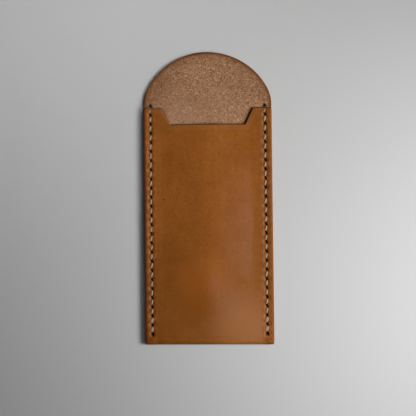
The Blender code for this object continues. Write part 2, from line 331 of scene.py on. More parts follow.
def slit_share(x, height, first):
    """1 inside a slanted slit and 0 outside it."""
    across = past_seam(x)
    up = nearest_hole(height, first)
    run = slit_run.normalized()
    length = across * run.x + up * run.y
    side = -across * run.y + up * run.x
    widened = np.where(end_hole(height), end_slit_width, 1.0)
    width = slit_half_width * (1 - (length / slit_half_length) ** 2) * widened
    return smooth((width - np.abs(side)) / slit_soft_edge + 0.4)


def slant_shift(x, height, first):
    """Sideways shift that makes the columns near a seam run along its slits."""
    up = nearest_hole(height, first)
    near = 1 - risen(np.abs(up), *slant_row_fall)
    beside = 1 - risen(beside_seam(x), *slant_column_fall)
    return slit_run.x / slit_run.y * up * near * beside


def front_press(x, height):
    """How deep the stitches draw the front panel in, slits apart."""
    across = beside_seam(x)
    up = nearest_hole(height, 1)
    depth, width = front_valley
    press = depth * hump(across, width) + valley(across, *front_slope)
    press = press + dimple(past_seam(x) + dimple_left, up, *front_dimple)
    depth, width = front_puff
    puff = depth * hump(across - puff_beside, width) * (1 - hump(up, puff_gap))
    return (press - puff) * risen(height, *front_press_rise)


def back_press(x, height):
    """How deep the stitches draw the back panel in, slits apart."""
    across = beside_seam(x)
    groove = back_groove * (1 - risen(across, *back_groove_fall))
    press = groove + valley(across, *back_slope)
    press = press + dimple(across, nearest_hole(height, 0), *back_dimple)
    return press * risen(height, *back_press_rise) * (1 - risen(height, *back_press_fall))


def lip_shine(x, height):
    """1 on the lip at the left of each hole on the front, where a highlight is painted."""
    return hump(past_seam(x) + lip_left, lip_width) * hump(nearest_hole(height, 1), lip_left)


def thread_shadow_strip(x, height):
    """1 in a narrow strip at the left of each stitch on the front, where the thread's shadow is painted."""
    between_holes = 1 - hump(nearest_hole(height, 1), shadow_gap)
    return hump(past_seam(x) + shadow_left, shadow_width) * between_holes


# Stations across the strip and rows along it
def columns():
    """Stations across the strip, from left to right."""
    right = [plain_step * step for step in range(plain_steps)]
    right = [x for x in right if abs(x - notch_middle) > notch_clear]
    right += [notch_bottom_half + step for step in notch_bottom_steps]
    right += [notch_top_half + step for step in notch_top_steps]
    right += [seam_x + step for step in seam_steps]
    right += [margin_column, half_width - outer_round]
    right = sorted(set(right))
    return np.array([-x for x in reversed(right[1:])] + right)


def hole_rows(low, high, first):
    """Heights from high to low, close together round each stitch hole."""
    clear = 0.0003
    rows = [high, low]
    for hole in holes[first:]:
        rows += [hole + step for step in hole_steps if low + clear < hole + step < high - clear]
    return sorted(set(rows), reverse=True)


def turned(rounding):
    """Corners of a rounded edge: their insets from its tip and depths below its face."""
    angles = [turn_angle * number for number in edge_turns]
    return [(rounding * (1 - math.sin(angle)), rounding * (1 - math.cos(angle))) for angle in angles]


def ring_profile(edge):
    """Closed cross-section of the strip: x and thickness share of each of its corners."""
    flat = columns()
    reach = half_width - outer_round
    outer = [(x * (edge - outer_round) / reach, 1.0) for x in flat]
    inner = [(x * (edge - inner_round) / reach, 0.0) for x in reversed(flat)]
    side = [(edge - inset, 1 - depth / leather) for inset, depth in turned(outer_round)]
    side.append((edge, edge_middle))
    side += [(edge - inset, depth / leather) for inset, depth in reversed(turned(inner_round))]
    other = [(-x, share) for x, share in reversed(side)]
    return np.array(outer + side + inner + other)


def near_fold(height):
    """1 on the fold and just above it, where the grain side is creased."""
    return 1 - risen(height, *bend_fall)


def make_ring(x, heights, z, flat_y, share, **fields):
    """One ring of the strip: its points, their flat places and the fields that the material reads."""
    fields["points"] = np.stack([x, along(heights), z], 1)
    fields["flat_place"] = np.stack([x, flat_y, share * leather], 1)
    return fields


def front_ring(height, inset):
    """One ring of the front panel, along the mouth where no height is given."""
    edge = half_width - rounded_back(corner_round, inset)
    profile = ring_profile(edge)
    x, share = profile[:, 0].copy(), profile[:, 1]
    outside = share > 0.5
    if height is None:
        heights = mouth_offset(x, inset + mouth_lean * share, right_lean * (share - right_lean_start))
    else:
        top = front_height - mouth_row
        reach = (mouth_offset(x, mouth_row) - level_rows_top) / (top - level_rows_top)
        above = height - level_rows_top
        heights = np.where(above > 0, level_rows_top + above * reach, height)
    x += slant_shift(x, heights, 1)
    low = rounded_back(inner_round, inset) / leather
    high = 1 - rounded_back(mouth_round, inset) / leather
    lift = pocket_lift(x, heights)
    inner_z = layer_height - layer_swell + lift
    pit = slit_share(x, heights, 1)
    press = front_press(x, heights)
    bevel = skive * (1 - smooth(mouth_distance(x, heights) / skive_run))
    drop = crease_line(x, heights) + np.minimum(press + bevel + slit_depth * pit, deepest_press)
    outer_z = layer_height + lift + upright(x, heights) - drop * outside
    z = inner_z + (outer_z - inner_z) * (low + (high - low) * share)
    side = edge - np.abs(x)
    rim = np.minimum(side, mouth_distance(x, heights))
    # The last two fields mark where a highlight and the thread's shadow are painted
    return make_ring(x, heights, z, front_height - heights, share, rim=rim, side=side,
                     bend=near_fold(heights), press=press, pit=pit * outside,
                     shine=lip_shine(x, heights) * outside, groove=thread_shadow_strip(x, heights) * outside)


def fold_ring(angle, leg):
    """One ring of the bottom fold, or of a straight leg beside it."""
    profile = ring_profile(half_width)
    x, share = profile[:, 0], profile[:, 1]
    inner = fold_radius - leather - layer_swell
    radius = inner + (fold_radius - inner) * share
    heights = fold_radius - radius * math.sin(angle) + leg
    crease = crease_line(x, heights) * (share > 0.5) * (angle == 0)
    z = fold_radius + radius * math.cos(angle) - crease
    run = front_height - fold_leg + flat_leg + angle * flat_radius + (-leg if angle == 0 else leg)
    side = half_width - np.abs(x)
    flat_y = np.full(len(x), run)
    return make_ring(x, heights, z, flat_y, share, rim=side, side=side, bend=np.ones(len(x)))


def back_ring(height):
    """One ring of the back panel or of the tongue's root."""
    edge = float(outline_half(height))
    profile = ring_profile(edge)
    x, share = profile[:, 0].copy(), profile[:, 1]
    outside = share > 0.5
    heights = np.full(len(x), height)
    x += slant_shift(x, heights, 0) * (height < last_slanted_row)
    pit = slit_share(x, heights, 0)
    through = height > front_height - through_rows
    press = back_press(x, heights)
    deepest = deepest_through if through else deepest_press
    outer_z = np.minimum(press + slit_depth * pit, deepest) * outside
    open_pit = pit * (share < 0.5) * through
    drawn_in = dimple(beside_seam(x), height - top_hole, *top_dimple) * (height > front_height)
    rise = belly * risen(height, *belly_rise) * (1 - risen(height, *belly_fall))
    rise = rise * (1 - risen(np.abs(x), *belly_side_fall))
    swell = layer_swell * (1 - risen(height, *swell_fall))
    inner_z = leather + swell + rise - open_pit_depth * open_pit - drawn_in * (share < 0.5)
    z = inner_z + (outer_z - inner_z) * share
    rim = edge - np.abs(x)
    side = rim * (1 + (tongue_side - 1) * risen(height, *past_seam_rise))
    return make_ring(x, heights, z, flat_back_start + heights, share, rim=rim, side=side,
                     bend=near_fold(heights), press=np.where(outside, press, drawn_in),
                     pit=np.where(outside, pit, open_pit))


def strip_rings():
    """All rings of the pocket's strip, from the mouth round the fold to the split."""
    rings = [front_ring(None, inset) for inset in mouth_insets]
    rings += [front_ring(height, 1) for height in hole_rows(fold_leg, front_height - mouth_row, 1)]
    rings.append(fold_ring(0, leg_row))
    rings += [fold_ring(math.pi * step / fold_steps, 0) for step in range(fold_steps + 1)]
    rings.append(fold_ring(math.pi, leg_row))
    back = hole_rows(fold_leg, split_height, 0) + root_rows
    return rings + [back_ring(height) for height in sorted(set(back))]


# Meshes of the leather
def store(mesh, name, values):
    """Keep a value or a vector at each vertex."""
    values = np.asarray(values, np.float32)
    if values.ndim == 1:
        mesh.attributes.new(name, "FLOAT", "POINT").data.foreach_set("value", values)
    else:
        mesh.attributes.new(name, "FLOAT_VECTOR", "POINT").data.foreach_set("vector", values.ravel())


def make_piece(name, points, faces, kinds, fields, materials, sharp=48):
    """A named mesh object with its materials and its per-vertex fields."""
    mesh = bpy.data.meshes.new(name)
    mesh.from_pydata([tuple(point) for point in relaxed(points)], [], faces)
    for material in materials:
        mesh.materials.append(material)
    mesh.polygons.foreach_set("material_index", kinds)
    for field, values in fields.items():
        store(mesh, field, values)
    mesh.validate()
    mesh.shade_smooth()
    mesh.set_sharp_from_angle(angle=math.radians(sharp))
    piece = bpy.data.objects.new(name, mesh)
    bpy.context.scene.collection.objects.link(piece)
    return piece


def joined(rings):
    """Points and fields of all rings in one; a field that a ring leaves out is 0 there."""
    fields = {}
    for name in FIELDS:
        values = [ring.get(name, np.zeros(len(ring["points"]))) for ring in rings]
        fields[name] = np.concatenate(values) * (1000 if name in LENGTHS else 1)
    return np.concatenate([ring["points"] for ring in rings]), fields


def leather_pocket(materials):
    """The strip from the mouth to the split, as one closed skin."""
    rings = strip_rings()
    size = len(rings[0]["points"])
    across = len(columns())
    inner = across + side_count
    ring_kinds = [EDGE] * size
    ring_kinds[:across - 1] = [GRAIN] * (across - 1)
    ring_kinds[inner:inner + across - 1] = [FLESH] * (across - 1)
    faces, kinds = [], []
    for number in range(len(rings) - 1):
        here, after = number * size, (number + 1) * size
        for i in range(size):
            j = (i + 1) % size
            faces.append((after + i, after + j, here + j, here + i))
            kinds.append(ring_kinds[i])
    for start, turned_over in ((0, False), ((len(rings) - 1) * size, True)):
        cap = [tuple(range(start + across - 1, start + inner + 1)),
               tuple(range(start + inner + across - 1, start + size)) + (start,)]
        for i in range(across - 1):
            below = start + inner + across - 1 - i
            cap.append((start + i, start + i + 1, below - 1, below))
        faces += [face[::-1] if turned_over else face for face in cap]
        kinds += [EDGE] * len(cap)
    points, fields = joined(rings)
    return make_piece("leather_pocket", points, faces, kinds, fields, materials)


def tongue_column(angle):
    """Rim point and outward direction of the tongue seen from its centre."""
    ray = np.array([math.cos(angle), math.sin(angle)])
    if ray[1] * tongue_radius >= shoulder_end:
        return ray * tongue_radius, ray
    shoulder = np.array([math.copysign(shoulder_x, ray[0]), shoulder_y])
    half = ray @ shoulder
    rim = ray * (half + math.sqrt(half * half - shoulder @ shoulder + shoulder_radius ** 2))
    return rim, (rim - shoulder) / shoulder_radius


def tongue_ring(step):
    """One ring of the tongue: out over its flesh side, round its rim and back over its grain side."""
    foot_y = split_height - tongue_centre
    start = math.atan2(foot_y, float(outline_half(split_height)))
    angle = start + (math.pi - 2 * start) * step / tongue_steps
    foot = np.array([foot_y / math.tan(angle), foot_y])
    rim, out = tongue_column(angle)
    steps_in = min(step, tongue_steps - step)

    def face(rounding, share):
        """Plan, distance from the rim and thickness share of each station from the foot outward."""
        last = rim - out * rounding
        reaches = [1 - (1 - row / tongue_rows) ** tongue_row_crowding for row in range(tongue_rows + 1)]
        plans = [foot + (last - foot) * reach if steps_in else last for reach in reaches]
        return [(plan, np.linalg.norm(rim - plan), share) for plan in plans]

    flesh_round = inner_round + (tongue_round - inner_round) * float(smooth(steps_in / tongue_round_steps))
    stations = face(flesh_round, 0)
    stations += [(rim - out * inset, 0, depth / leather) for inset, depth in turned(flesh_round)]
    stations.append((rim, 0, edge_middle))
    grain_turn = reversed(turned(outer_round))
    stations += [(rim - out * inset, 0, 1 - depth / leather) for inset, depth in grain_turn]
    stations += reversed(face(outer_round, 1))
    plans = np.array([plan for plan, distance, share in stations])
    distances = np.array([distance for plan, distance, share in stations])
    shares = np.array([share for plan, distance, share in stations])
    heights = plans[:, 1] + tongue_centre
    z = leather * (1 - shares)
    return make_ring(plans[:, 0], heights, z, flat_back_start + heights, shares,
                     rim=distances, side=distances * tongue_side)


def leather_tongue(materials):
    """The tongue from the split to its tip, as one closed skin."""
    rings = [tongue_ring(step) for step in range(tongue_steps + 1)]
    size = len(rings[0]["points"])
    ring_kinds = [FLESH] * tongue_rows + [EDGE] * side_count
    ring_kinds += [GRAIN] * (size - 1 - len(ring_kinds)) + [EDGE]
    faces, kinds = [], []
    for step in range(tongue_steps):
        here, after = step * size, (step + 1) * size
        for i in range(size):
            j = (i + 1) % size
            faces.append((here + i, here + j, after + j, after + i))
            kinds.append(ring_kinds[i])
    for start in (0, tongue_steps * size):
        faces.append(tuple(range(start + tongue_rows, start + tongue_rows + side_count + 2)))
        kinds.append(EDGE)
    points, fields = joined(rings)
    piece = make_piece("leather_tongue", points, faces, kinds, fields, materials)
    clean_up(piece)
    return piece


def clean_up(piece, sharp=48):
    """Merge points that coincide and turn all faces outward."""
    merged = 0.000002
    bm = bmesh.new()
    bm.from_mesh(piece.data)
    bmesh.ops.remove_doubles(bm, verts=bm.verts, dist=merged)
    bmesh.ops.dissolve_degenerate(bm, edges=bm.edges, dist=merged)
    bmesh.ops.recalc_face_normals(bm, faces=bm.faces)
    bm.to_mesh(piece.data)
    bm.free()
    piece.data.set_sharp_from_angle(angle=math.radians(sharp))


# Thread: lips are where it turns into a slit, crowns are the middles of its stitches
lip_front = 0.00350
lip_back = 0.00050
lip_reach = 1.36
crown_front = 0.00400
crown_back = 0.00041
strand_gap = 0.00020
dive = 0.00125
stitch_shares = (0, 0.10, 0.24, 0.42, 0.58, 0.76, 0.90, 1.0)
level_power = 0.45
shift_power = 0.6
swell_power = 0.5
thin_half = 0.00027
wide_swell = 0.00020
thick_swell = 0.00011
doubled_stitches = 2
doubled_shift = 0.00033
doubled_bulk = 0.82
doubled_thin_half = 0.00022
sample_spacing = 0.00034
strand_sides = 12
ply_count = 3
ply_run = 0.0030
ply_depth = 0.115
ply_middle = 0.95
darkening_from = 0.0024
darkening_run = 0.0021
first_lip_place = (0.00010, front_height - 0.0008, crown_front - 0.00022)

# Stations over the mouth's edge: shift, height, Z, half width and half thickness
wrap_stations = (
    (0.00012, front_height - 0.00008, crown_front - 0.00058, 0.00043, 0.00035),
    (0.00014, front_height + 0.00022, layer_height + 0.00050, 0.00039, 0.00031),
    (0.00016, front_height + 0.00026, leather - 0.00010, 0.00032, 0.00029),
    (0.00016, top_hole - 0.00085, leather - 0.00100, thin_half, thin_half),
)


def lip(x, number, arriving, on_front, strand):
    """Where a strand turns into a slit on one face."""
    run = -slit_run if arriving else slit_run
    across = Vector((-slit_run.y, slit_run.x)).normalized() * (strand * strand_gap)
    spot = Vector((x, along(holes[number]))) + run * lip_reach + across
    return Vector((spot.x, spot.y, lip_front if on_front else lip_back))


def sunk(place, on_front, half=thin_half):
    """A station straight below a lip, inside the slit."""
    return (Vector((place.x, place.y, place.z + (-dive if on_front else dive))), half, half)


def first_lip(x, on_front):
    """Where a half of the thread starts: on the mouth's edge or in the back's top slit."""
    if on_front:
        shift, height, z = first_lip_place
        return Vector((x + shift, along(height), z))
    return lip(x, 0, False, False, 0)


def stitch(start, end, on_front, bulk=1.0, shift=0.0):
    """Stations of one stitch between two lips: place, half width and half thickness."""
    level = crown_front if on_front else crown_back
    stations = []
    for share in stitch_shares:
        place = start.lerp(end, share)
        arch = math.sin(math.pi * share)
        place.z += (level - place.z) * arch ** level_power
        place.x += shift * arch ** shift_power
        wide = (thin_half + wide_swell * arch ** swell_power) * bulk
        thick = (thin_half + thick_swell * arch ** swell_power) * bulk ** 0.5
        stations.append((place, wide, thick))
    return stations


def half_path(x, on_front):
    """Stations of one half of a thread, from the top hole down to the lowest."""
    stations = []
    for number in range(last_hole):
        strand = 1 if on_front else -1
        start = lip(x, number, False, on_front, -strand) if number else first_lip(x, on_front)
        end = lip(x, number + 1, True, on_front, strand)
        if number < last_hole - doubled_stitches:
            stations += stitch(start, end, on_front)
        else:
            stations += stitch(start, end, on_front, doubled_bulk, -doubled_shift)
        stations.append(sunk(end, on_front))
        if number + 1 < last_hole:
            stations.append(sunk(lip(x, number + 1, False, not on_front, strand), not on_front))
        on_front = not on_front
    return stations


def top_wrap(x):
    """Stations that take the thread over the mouth's edge into the back's top slit."""
    return [(Vector((x + shift, along(height), z)), wide, thick)
            for shift, height, z, wide, thick in wrap_stations]


def spline(stations):
    """Even samples of a smooth curve through stations."""
    places = np.array([list(place) + [width, thick] for place, width, thick in stations])
    samples = []
    for i in range(len(places) - 1):
        before = places[max(i - 1, 0)]
        here, after = places[i], places[i + 1]
        beyond = places[min(i + 2, len(places) - 1)]
        gap = np.linalg.norm(after[:3] - here[:3])
        steps = max(1, int(round(gap / sample_spacing)))
        leave = (after - before) * gap / (gap + np.linalg.norm(here[:3] - before[:3]) + 1e-9)
        arrive = (beyond - here) * gap / (gap + np.linalg.norm(beyond[:3] - after[:3]) + 1e-9)
        for step in range(steps):
            t = step / steps
            samples.append((2 * t ** 3 - 3 * t ** 2 + 1) * here + (t ** 3 - 2 * t ** 2 + t) * leave
                           + (3 * t ** 2 - 2 * t ** 3) * after + (t ** 3 - t ** 2) * arrive)
    samples.append(places[-1])
    return np.array(samples)


def strand_skin(samples, points, faces, fields, turn_start=0.0):
    """Add one twisted strand along samples to a mesh being built."""
    twist = 2 * math.pi / ply_run
    first = len(points)
    travelled = 0.0
    total = len(samples)
    for number, sample in enumerate(samples):
        place = sample[:3]
        before, after = samples[max(number - 1, 0)][:3], samples[min(number + 1, total - 1)][:3]
        forward = after - before
        forward = forward / np.linalg.norm(forward)
        travelled += np.linalg.norm(place - before)
        side = np.array([1.0, 0, 0]) - forward * forward[0]
        side = side / np.linalg.norm(side)
        up = np.cross(forward, side)
        past_mouth = risen(place[1], along(front_height - darkening_from), darkening_run)
        for corner in range(strand_sides):
            angle = 2 * math.pi * corner / strand_sides
            ply = math.cos(ply_count * (angle - twist * travelled / ply_count + turn_start))
            swell = ply_middle + ply_depth * ply
            offset = side * sample[3] * math.cos(angle) * swell + up * sample[4] * math.sin(angle) * swell
            points.append(tuple(place + offset))
            fields["ply"].append(0.5 + 0.5 * ply)
            fields["flat_place"].append((travelled * 1000, angle, place[0] * 1000))
            fields["wrap_darkening"].append(float(past_mouth) * (place[2] > leather / 2))
    for number in range(total - 1):
        here, after = first + number * strand_sides, first + (number + 1) * strand_sides
        for corner in range(strand_sides):
            j = (corner + 1) % strand_sides
            faces.append((here + corner, here + j, after + j, after + corner))
    faces.append(tuple(range(first + strand_sides - 1, first - 1, -1)))
    faces.append(tuple(range(first + (total - 1) * strand_sides, first + total * strand_sides)))


def seam_thread(name, x, material):
    """One saddle-stitched thread, with its last stitches doubled."""
    points, faces = [], []
    fields = {"ply": [], "flat_place": [], "wrap_darkening": []}
    main = list(reversed(half_path(x, True))) + top_wrap(x) + half_path(x, False)
    strand_skin(spline(main), points, faces, fields)
    for number in range(last_hole - doubled_stitches, last_hole):
        for on_front in (True, False):
            start = lip(x, number, False, on_front, 1)
            end = lip(x, number + 1, True, on_front, -1)
            stations = [sunk(start, on_front, doubled_thin_half)]
            stations += stitch(start, end, on_front, doubled_bulk, doubled_shift)
            stations.append(sunk(end, on_front, doubled_thin_half))
            strand_skin(spline(stations), points, faces, fields, 1.0 + number)
    return make_piece(name, points, faces, [0] * len(faces), fields, [material], 80)


# Materials
class Nodes:
    """A short way to write a material's nodes."""

    def __init__(self, name, roughness, specular):
        self.material = bpy.data.materials.new(name)
        self.material.use_nodes = True
        self.tree = self.material.node_tree
        self.shader = self.tree.nodes["Principled BSDF"]
        self.shader.inputs["Roughness"].default_value = roughness
        self.shader.inputs["Specular IOR Level"].default_value = specular

    def put(self, node, socket, value):
        """Link a socket to an input, or set the input to a value."""
        if isinstance(value, bpy.types.NodeSocket):
            self.tree.links.new(value, node.inputs[socket])
        elif value is not None:
            node.inputs[socket].default_value = value

    def add(self, kind, *values, **named):
        """A new node, with its inputs set or linked in order or by name."""
        node = self.tree.nodes.new("ShaderNode" + kind)
        for socket, value in [*enumerate(values), *named.items()]:
            self.put(node, socket, value)
        return node

    def field(self, name, vector=False):
        """A field kept at the mesh's points."""
        node = self.add("Attribute")
        node.attribute_name = name
        return node.outputs["Vector" if vector else "Fac"]

    def scaled(self, vector, scale):
        """A vector with each axis scaled."""
        return self.add("Mapping", vector, Scale=scale).outputs["Vector"]

    def noise(self, vector, scale, detail, roughness, distortion=0.0):
        """Cloudy noise, whose scale is in cells per millimetre on the leather."""
        node = self.add("TexNoise", Vector=vector, Scale=scale, Detail=detail, Roughness=roughness,
                        Distortion=distortion)
        return node.outputs["Fac"]

    def cells(self, vector, scale):
        """Distance from the middles of scattered cells."""
        return self.add("TexVoronoi", Vector=vector, Scale=scale).outputs["Distance"]

    def axis(self, vector, number):
        """One axis of a vector."""
        return self.add("SeparateXYZ", vector).outputs[number]

    def apart(self, vector, point):
        """Distance from a point."""
        node = self.add("VectorMath", vector, point)
        node.operation = "DISTANCE"
        return node.outputs["Value"]

    def sum(self, kind, first, second):
        """Two values put together."""
        node = self.add("Math", first, second)
        node.operation = kind
        return node.outputs[0]

    def times(self, first, second):
        """Two values multiplied."""
        return self.sum("MULTIPLY", first, second)

    def blended(self, *parts):
        """Values added up, each times its weight."""
        total = None
        for value, weight in parts:
            part = self.times(value, weight)
            total = part if total is None else self.sum("ADD", total, part)
        return total

    def ranged(self, value, from_low, from_high, to_low, to_high, smoothly=False):
        """A value carried from one range to another, and kept inside it."""
        node = self.add("MapRange", value, from_low, from_high, to_low, to_high)
        node.interpolation_type = "SMOOTHSTEP" if smoothly else "LINEAR"
        return node.outputs["Result"]

    def fading(self, value, near, far, share):
        """A share up to near that falls smoothly to 0 at far."""
        return self.ranged(value, near, far, share, 0.0, True)

    def ramp(self, value, *stops):
        """Colours at positions of a value."""
        node = self.add("ValToRGB", value)
        points = node.color_ramp.elements
        while len(points) < len(stops):
            points.new(0.5)
        for point, (position, colour) in zip(points, stops):
            point.position = position
            point.color = (*colour, 1)
        return node.outputs["Color"]

    def mix(self, share, first, second, kind="MIX"):
        """Two colours mixed by a share."""
        node = self.add("Mix")
        node.data_type = "RGBA"
        node.blend_type = kind
        self.put(node, "Factor", share)
        for index, value in ((6, first), (7, second)):
            if isinstance(value, tuple):
                value = (*value, 1)
            self.put(node, index, value)
        return node.outputs[2]

    def shaded(self, colour, value, *stops):
        """A colour multiplied by a ramp over a value."""
        return self.mix(1.0, colour, self.ramp(value, *stops), "MULTIPLY")

    def areas(self, colour, place, spots):
        """A colour with tints mixed in round points: centre, near and far distance, share and tint."""
        for centre, near, far, share, tint in spots:
            colour = self.mix(self.fading(self.apart(place, centre), near, far, share), colour, tint)
        return colour

    def bump(self, height, distance, strength):
        """A normal from a height."""
        return self.add("Bump", Height=height, Distance=distance, Strength=strength).outputs["Normal"]

    def finish(self, colour, roughness=None, normal=None):
        """The material, with its shader's inputs linked."""
        self.put(self.shader, "Base Color", colour)
        self.put(self.shader, "Roughness", roughness)
        self.put(self.shader, "Normal", normal)
        return self.material


# Tints of the leather, with painted shade, painted sheen and painted highlights among them, and its lighter
# and darker areas in millimetres of the flat strip
deep_tan = (0.120, 0.030, 0.001)
worn_tan = (0.420, 0.118, 0.018)
painted_sheen_tan = (0.325, 0.122, 0.033)
painted_lower_left_shade = (0.125, 0.034, 0.001)
painted_right_shade = (0.120, 0.034, 0.002)
painted_right_margin_shade = (0.120, 0.032, 0.001)
pressed_tan = (0.165, 0.050, 0.007)
highlight_tan = (0.430, 0.215, 0.090)
painted_thread_shadow = (0.080, 0.022, 0.004)
lighter_rim_tint = (0.310, 0.112, 0.018)
burnished_rim = (0.060, 0.014, 0.004)
waxed_rim_and_left_shade = (0.080, 0.014, 0.002)
speck_black = (0.010, 0.005, 0.003)
painted_slit_shade = (0.006, 0.002, 0.001)
# Painted shade: the front panel darker toward its lower left, where less light falls
lower_left_shade_areas = [((-18, 118, 2), 12, 66, 0.42, painted_lower_left_shade)]
tone_shade_and_sheen_areas = [
    ((-26, 5, 2), 4, 17, 0.30, deep_tan),
    ((28, 1, 2), 4, 15, 0.27, deep_tan),
    ((-4, 93, 2), 3, 24, 0.26, worn_tan),
    # Painted shade on the right of the front panel's middle, toning down the sheen there
    ((22, 64, 2), 5, 34, 0.15, deep_tan),
    # Painted sheen at the lower right of the front panel
    ((22, 122, 2), 4, 30, 0.72, painted_sheen_tan),
]
speck_areas = [((-24.1, 50.1, 2), 0.22, 0.46, 0.9, speck_black)]
shaded_areas = [((-27, 268, 2), 4, 22, 0.16, (0.120, 0.055, 0.022))]
# Painted light on the flesh near the notch, where the front panel's mouth shades it
painted_light_areas = [
    ((-15, 256, 2), 3, 16, 0.14, (0.620, 0.380, 0.240)),
    ((3, 248, 2), 8, 30, 0.12, (0.560, 0.340, 0.215)),
]


def grain_leather():
    """Waxed vegetable-tanned grain: mottled tan, fine pores, faint streaks, dark rims, with painted shade,
    painted sheen and painted highlights in places.
    """
    n = Nodes("grain_leather", roughness=0.5, specular=0.15)
    place = n.field("flat_place", True)
    rim, side, bend = n.field("rim"), n.field("side"), n.field("bend")
    across = n.axis(place, 0)
    cloud = n.noise(place, 0.055, 4, 0.55, 0.4)
    patch = n.noise(place, 0.32, 4, 0.6, 0.3)
    streak = n.noise(n.scaled(place, (0.45, 0.05, 0.45)), 1.0, 3, 0.6, 0.5)
    fine = n.noise(place, 2.6, 3, 0.65)
    pebble = n.noise(place, 1.15, 3, 0.6, 0.3)
    folds = n.noise(n.scaled(place, (0.22, 1.7, 0.22)), 1.0, 3, 0.6, 0.6)
    wrinkle = n.noise(n.scaled(place, (1.50, 0.40, 1.50)), 1.0, 3, 0.66, 1.0)
    colour = n.ramp(cloud, (0.30, (0.228, 0.068, 0.0080)), (0.5, (0.252, 0.0785, 0.0104)),
                    (0.72, (0.276, 0.0895, 0.0134)))
    colour = n.shaded(colour, patch, (0.30, (0.93, 0.92, 0.90)), (0.70, (1.06, 1.07, 1.09)))
    colour = n.shaded(colour, streak, (0.30, (0.955, 0.95, 0.94)), (0.70, (1.035, 1.04, 1.05)))
    colour = n.shaded(colour, fine, (0.30, (0.93, 0.92, 0.90)), (0.65, (1.04, 1.04, 1.05)))
    colour = n.shaded(colour, pebble, (0.32, (0.86, 0.85, 0.83)), (0.68, (1.14, 1.15, 1.17)))
    # Painted shade toward the lower left of the front panel
    colour = n.areas(colour, place, lower_left_shade_areas)
    # Painted shade: the panel darker toward its right side
    colour = n.mix(n.ranged(across, 6, 26, 0.0, 0.13), colour, painted_right_shade)
    # Areas of darker and lighter tone, with painted shade and painted sheen among them
    colour = n.areas(colour, place, tone_shade_and_sheen_areas)
    colour = n.mix(n.ranged(n.field("press"), 0.20, 0.70, 0, 0.15), colour, pressed_tan)

    # Folded and stitched leather is wrinkled
    margin = n.fading(side, 5.0, 7.2, 1.0)
    creased = n.shaded(colour, folds, (0.36, (0.89, 0.88, 0.86)), (0.50, (1.00, 1.01, 1.03)),
                       (0.64, (1.13, 1.16, 1.22)))
    colour = n.mix(bend, colour, creased)
    wrinkled = n.shaded(colour, wrinkle, (0.39, (0.51, 0.41, 0.23)), (0.50, (0.92, 0.86, 0.64)),
                        (0.61, (1.47, 1.41, 1.10)))
    colour = n.mix(margin, colour, wrinkled)
    # Painted shade: the stitched margins darker toward the right
    colour = n.mix(n.times(margin, n.ranged(across, 10, 34, 0.0, 0.30)), colour, painted_right_margin_shade)
    # Painted highlight on the lip at the left of each hole
    colour = n.mix(n.times(n.field("shine"), 0.36), colour, highlight_tan)
    # Painted shadow of the thread at the left of each stitch
    colour = n.mix(n.times(n.field("groove"), 0.48), colour, painted_thread_shadow)

    # Rims get a lighter band, then are burnished dark
    uneven = n.ranged(n.noise(place, 0.55, 3, 0.6), 0.3, 0.7, -0.20, 0.20)
    soft_rim = n.sum("ADD", rim, uneven)
    lighter_rim_band = n.times(n.ranged(soft_rim, 0.20, 0.50, 0.0, 1.0, True), n.fading(soft_rim, 0.5, 1.7, 0.55))
    colour = n.mix(lighter_rim_band, colour, lighter_rim_tint)
    colour = n.mix(n.fading(soft_rim, 0.05, 0.36, 0.50), colour, burnished_rim)
    # Burnished wax on the side edges, with painted shade that makes the left edge much darker than the
    # right
    waxed_and_shaded_side = n.fading(n.sum("ADD", side, uneven), 0.60, 1.65, 0.95)
    left_shade_share = n.ranged(across, -34, 34, 1.0, 0.15)
    colour = n.mix(n.times(waxed_and_shaded_side, left_shade_share), colour, waxed_rim_and_left_shade)
    colour = n.areas(colour, place, speck_areas)
    # Painted shade in the stitch slits
    colour = n.mix(n.field("pit"), colour, painted_slit_shade)

    pore = n.ranged(n.cells(place, 2.6), 0.05, 0.42, 0.0, 1.0, True)
    height = n.blended((pore, 0.28), (fine, 0.55), (patch, 0.6), (pebble, 0.9),
                       (n.times(wrinkle, margin), 3.2), (n.times(folds, bend), 1.8))
    handled = n.sum("MAXIMUM", margin, n.fading(rim, 1.0, 4.0, 1.0))
    rough = n.ranged(n.sum("ADD", patch, fine), 0.7, 1.3, 0.18, 0.23)
    rough = n.sum("ADD", rough, n.times(handled, 0.46))
    return n.finish(colour, rough, n.bump(height, 0.00006, 0.48))


